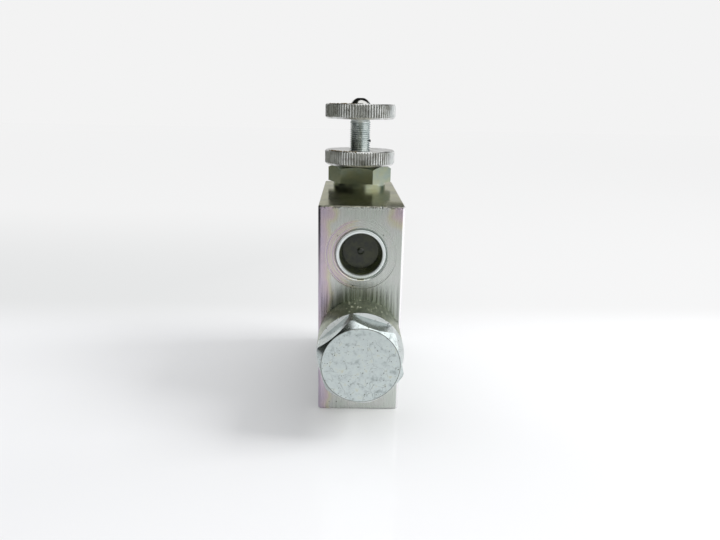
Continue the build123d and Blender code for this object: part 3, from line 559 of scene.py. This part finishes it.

# Moulded polythene: waxy and near white at the lip; inside the lip its colour is painted shade of
# the dark bore behind the thin wall.
polythene, tree = new_material("moulded_polythene")
mm = in_millimetres(tree)
x = add(tree, "SeparateXYZ", mm)
cap_z = add(tree, "Math", x.node.outputs[2], PORT_Z, operation="SUBTRACT")
arm = add(tree, "CombineXYZ", x, 0.0, cap_z)
radius = add(tree, "VectorMath", arm, out="Value", operation="LENGTH")
cloud = add(tree, "TexNoise", inputs={"Vector": mm, "Scale": 1 / CAP_CLOUD, "Detail": 3.0})
# Painted shade: the dark bore behind the thin wall, given as a colour.
bore_shade_tint = add(tree, "ValToRGB", cloud, stops=((0.35, "#272c22"), (0.65, "#3c4026")))
lip = add(tree, "MapRange", radius, *LIP_START, **EASED)
colour = add(tree, "Mix", lip, inputs={6: bore_shade_tint, 7: srgb("#e9efee")}, out=2, data_type="RGBA")
from_crest = add(tree, "Math", radius, LIP_CREST, operation="SUBTRACT")
from_crest = add(tree, "Math", from_crest, LIP_HALF, operation="DIVIDE")
rounding = add(tree, "Math", from_crest, from_crest, operation="MULTIPLY")
rounding = add(tree, "Math", rounding, -LIP_HEIGHT, operation="MULTIPLY")
rounding = add(tree, "Math", rounding, lip, operation="MULTIPLY")
relief = add(tree, "Math", cloud, CAP_CLOUD_HEIGHT, rounding, operation="MULTIPLY_ADD")
bump = add(tree, "Bump", inputs={"Height": relief, "Strength": 1.0, "Distance": 0.001})
sheen = add(tree, "Math", lip, 0.35, operation="MULTIPLY")
skin = add(tree, "BsdfPrincipled", inputs={
    "Base Color": colour, "Roughness": 0.2, "IOR": 1.51, "Metallic": sheen, "Normal": bump,
})
add(tree, "OutputMaterial", skin)
dress("front_port_cap", polythene)


# The lock ring and the handwheel
# Turned aluminium with straight knurling, bare and soiled: brown-grey grime in clouds 3.5 mm
# across, and a grain of 0.2 mm from turning.
GRIME, GRAINS_PER_MM = 3.5, 5.0

# Bare aluminium, turned and knurled: white metal with a soft sheen.
aluminium, tree = new_material("knurled_aluminium")
mm = in_millimetres(tree)
grime = add(tree, "TexNoise", inputs={"Vector": mm, "Scale": 1 / GRIME, "Detail": 5.0})
tint = add(tree, "ValToRGB", grime, stops=(
    (0.3, "#a9a8a3"), (0.45, "#d0d1cf"), (0.7, "#e2e2e0"),
))
rough = add(tree, "MapRange", grime, 0.0, 1.0, 0.38, 0.3)
grain = add(tree, "TexNoise", inputs={"Vector": mm, "Scale": GRAINS_PER_MM, "Detail": 2.0})
finish(tree, tint, 1.0, rough, grain, 0.3, 0.00008)
for name in ("lock_ring", "handwheel"):
    dress(name, aluminium)


# The spindle
# Bright steel with a rolled M10 x 1 thread, a button end that pulls the throttle spool, and a
# seat with two flats for the handwheel. The thread is modelled here in full. Sizes are in
# millimetres.
THREAD_PITCH, THREAD_DEPTH, THREAD_RADIUS = 1.0, 0.61, 5.0
THREAD_BEVEL, THREAD_END, THREAD_RUN_OUT = 0.35, 0.4, 0.6
CREST_SHARE, FLANK_SHARE = 0.66, 0.54  # of half a pitch: where the flank starts, and its width
THREAD_COLUMNS, ROWS_PER_PITCH = 96, 12
NECK_RADIUS, SEAT_RADIUS, NECK_LENGTH, TAIL_LENGTH = 4.6, 4.0, 1.0, 5.6
BUTTON_RADIUS, BUTTON_HEIGHT, BUTTON_BEVEL, SHANK_RADIUS = 3.8, 2.4, 0.35, 2.7
SPINDLE_FILM = 2.5


def grid_faces(rows, columns):
    """The faces of a closed grid, whose rows run upwards from pole to pole and whose columns run
    round: each joins a point to the next in its row and to the two above them."""
    index = np.arange(rows * columns).reshape(rows, columns)
    beside = np.roll(index, -1, axis=1)
    return np.stack([index[:-1], beside[:-1], beside[1:], index[1:]], axis=-1).reshape(-1, 4)


def add_piece(name, points, faces, body, material):
    """A smooth piece from points in millimetres and their faces. It rides on a body, and it has
    the slot of a material of the record."""
    mesh = bpy.data.meshes.new(name)
    mesh.from_pydata((points / 1000).reshape(-1, 3).tolist(), [], faces.tolist())
    mesh.shade_smooth()
    mesh.validate()
    piece = bpy.data.objects.new(name, mesh)
    bpy.context.scene.collection.objects.link(piece)
    mesh.materials.append(material)
    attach(piece, body)
    return piece


# Rolled steel: smooth and bright, with a thin film of oil that breaks up the highlights.
rolled_steel, tree = new_material("rolled_steel")
mm = in_millimetres(tree)
film = add(tree, "TexNoise", inputs={"Vector": mm, "Scale": 1 / SPINDLE_FILM, "Detail": 4.0})
tint = add(tree, "ValToRGB", film, stops=((0.35, "#b9c1c0"), (0.65, "#e0e5e3")))
rough = add(tree, "MapRange", film, 0.0, 1.0, 0.16, 0.26)
finish(tree, tint, 1.0, rough, film, 0.2, 0.00008)

# Half the piece's outline, from the button at the bottom to the seat at the top.
low, high = (corner.z * 1000 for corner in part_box("spindle"))
wheel_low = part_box("handwheel")[0].z * 1000
thread_low, thread_high = low + TAIL_LENGTH, wheel_low - NECK_LENGTH
cut_low, cut_high = thread_low + THREAD_BEVEL, thread_high - THREAD_END
outline = [
    (0.0, low), (BUTTON_RADIUS - BUTTON_BEVEL, low), (BUTTON_RADIUS, low + BUTTON_BEVEL),
    (BUTTON_RADIUS, low + BUTTON_HEIGHT), (SHANK_RADIUS, low + BUTTON_HEIGHT),
    (SHANK_RADIUS, thread_low), (THREAD_RADIUS - THREAD_BEVEL, thread_low),
]
rows = np.arange(cut_low, cut_high, THREAD_PITCH / ROWS_PER_PITCH)
outline += [(THREAD_RADIUS, height) for height in rows]
outline += [
    (NECK_RADIUS, thread_high), (NECK_RADIUS, wheel_low), (SEAT_RADIUS, wheel_low),
    (SEAT_RADIUS, high), (0.0, high),
]

# The thread is cut out of the outline turned round the axis: how far a point lies from the
# middle of its crest, as a share of half a pitch, sets the depth, which fades at both ends.
radius, height = np.array(outline).T[:, :, None]
angle = np.linspace(0, 2 * math.pi, THREAD_COLUMNS, endpoint=False)[None, :]
from_end = np.minimum(height - cut_low, cut_high - height)
threaded = np.clip(from_end / THREAD_RUN_OUT, 0, 1)
across = np.abs((height / THREAD_PITCH - angle / (2 * math.pi)) % 1 - 0.5) * 2
cut = np.clip((CREST_SHARE - across) / FLANK_SHARE, 0, 1) * threaded * THREAD_DEPTH
cut = np.where(radius == THREAD_RADIUS, cut, 0)
reach = radius - cut
points = np.stack([reach * np.cos(angle), reach * np.sin(angle), height + 0 * angle], -1)
faces = grid_faces(len(outline), THREAD_COLUMNS)
spindle = add_piece("threaded_spindle", points, faces, "adjuster", rolled_steel)
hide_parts("spindle")


# The handwheel screw
# A steel screw with a button head and a hexagon socket, nickel plated, which holds the handwheel
# on the spindle's seat.
SCREW_FILM = 1.5  # millimetres

# Bright nickel plate: a mirror that is slightly yellow, with only faint clouds of handling.
nickel, tree = new_material("bright_nickel_plate")
mm = in_millimetres(tree)
film = add(tree, "TexNoise", inputs={"Vector": mm, "Scale": 1 / SCREW_FILM, "Detail": 3.0})
rough = add(tree, "MapRange", film, 0.0, 1.0, 0.07, 0.15)
finish(tree, srgb("#b9b9b6"), 1.0, rough, film, 0.15, 0.00008)
dress("handwheel_screw", nickel)


# The working pieces inside
# Ground spool and sleeve, spring, jet and seals, each in the material that such a valve has.
# None of them shows from outside.
def plain_finish(name, low, high, metallic, rough, grain):
    """A finish with a soft cloud of two close colours, grain millimetres across, which is also
    the height of a fine bump."""
    material, tree = new_material(name)
    mm = in_millimetres(tree)
    cloud = add(tree, "TexNoise", inputs={"Vector": mm, "Scale": 1 / grain, "Detail": 3.0})
    tint = add(tree, "ValToRGB", cloud, stops=((0.35, low), (0.65, high)))
    finish(tree, tint, metallic, rough, cloud, 0.2, 0.00005)
    return material


# Steel hardened and ground has a cool, even gloss, drawn spring wire is darker and softer, and
# turned brass is yellow. Rubber is matt and near black, and turned PTFE is waxy and off-white.
ground_steel = plain_finish("ground_hardened_steel", "#b9bbbd", "#c8cacb", 1.0, 0.22, 0.8)
spring_steel = plain_finish("drawn_spring_steel", "#6d6f72", "#8a8c8e", 1.0, 0.35, 1.5)
brass = plain_finish("turned_brass", "#b5954f", "#c9a860", 1.0, 0.28, 0.6)
rubber = plain_finish("moulded_nitrile_rubber", "#191919", "#242424", 0.0, 0.55, 0.7)
ptfe = plain_finish("turned_ptfe", "#dcdad2", "#e9e7e0", 0.0, 0.45, 0.9)
INSIDE = (
    (ground_steel, ("compensator_spool", "throttle_sleeve", "throttle_spool", "guide_pin")),
    (spring_steel, ("compensator_spring", "spring_shim")),
    (brass, ("pilot_jet",)),
    (rubber, ("plug_o_ring", "bonnet_o_ring", "sleeve_o_ring", "spool_o_ring")),
    (ptfe, ("sleeve_backup_ring", "spool_backup_ring")),
)
for material, names in INSIDE:
    for name in names:
        dress(name, material)


# Dirt
# Brown grease and grit that has dried on the left rims of the handwheel and the lock ring, and a
# burr on the right of the spindle thread. Small lumps, each a dented ball. Sizes are in
# millimetres.
LUMP_ROWS, LUMP_COLUMNS, DENT_DEPTH = 9, 14, 0.25
GREASE_BEARINGS, GREASE_INSET, GREASE_SIZES, GREASE_FLAT = (205, 262), (0.5, 2.4), (0.18, 0.5), 0.55
GREASED = (
    ("handwheel_grease", "handwheel", "adjuster", 26),
    ("lock_ring_grease", "lock_ring", "locking", 34),
)
GREASE_SEED = 11
BURR_PLACES = ((4.75, -1.5, 112.4), (4.9, -1.3, 111.9))
BURR_SIZES = ((0.5, 0.4, 0.35), (0.35, 0.3, 0.3))
BURR_SEED = 3


def lumps(name, places, sizes, body, material, seed):
    """Dented balls in one closed mesh: each ball's radius is its size times one plus a wave of two
    turns round and three half-turns from pole to pole, whose starts are random. A size has a
    factor for each axis, which draws the ball out or flattens it."""
    rng = np.random.default_rng(seed)
    polar = np.linspace(0, math.pi, LUMP_ROWS)[:, None]
    turn = np.linspace(0, 2 * math.pi, LUMP_COLUMNS, endpoint=False)[None, :]
    ball = np.stack([
        np.sin(polar) * np.cos(turn), np.sin(polar) * np.sin(turn), np.cos(polar) + 0 * turn,
    ], -1)
    downward = grid_faces(LUMP_ROWS, LUMP_COLUMNS)[:, ::-1]  # the rows start at the upper pole
    points, faces = [], []
    for number, (place, size) in enumerate(zip(places, sizes)):
        round_wave = np.sin(2 * turn + rng.uniform(0, 6))
        dent = 1 + DENT_DEPTH * round_wave * np.sin(3 * polar + rng.uniform(0, 6))
        points.append((ball * dent[..., None] * size + place).reshape(-1, 3))
        faces.append(downward + number * LUMP_ROWS * LUMP_COLUMNS)
    add_piece(name, np.concatenate(points), np.concatenate(faces), body, material)


# Dried grease is matt and brown; torn steel is dark and half bright.
grease = plain_finish("dried_grease", "#5a4a30", "#8a7a55", 0.0, 0.6, 0.4)
burr_steel = plain_finish("torn_steel", "#3c403f", "#5c605f", 1.0, 0.4, 0.3)
rng = np.random.default_rng(GREASE_SEED)
for name, node, body, count in GREASED:
    low, high = (np.array(corner) * 1000 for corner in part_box(node))
    rim, top_z = (high[0] - low[0]) / 2, high[2]
    bearing = np.radians(rng.uniform(*GREASE_BEARINGS, count))
    reach = rim - rng.uniform(*GREASE_INSET, count)
    places = [reach * np.cos(bearing), reach * np.sin(bearing), np.full(count, top_z)]
    sizes = rng.uniform(*GREASE_SIZES, (count, 1)) * (1, 1, GREASE_FLAT)
    lumps(name, np.stack(places, -1), sizes, body, grease, count)
lumps("thread_burr", BURR_PLACES, BURR_SIZES, "adjuster", burr_steel, BURR_SEED)
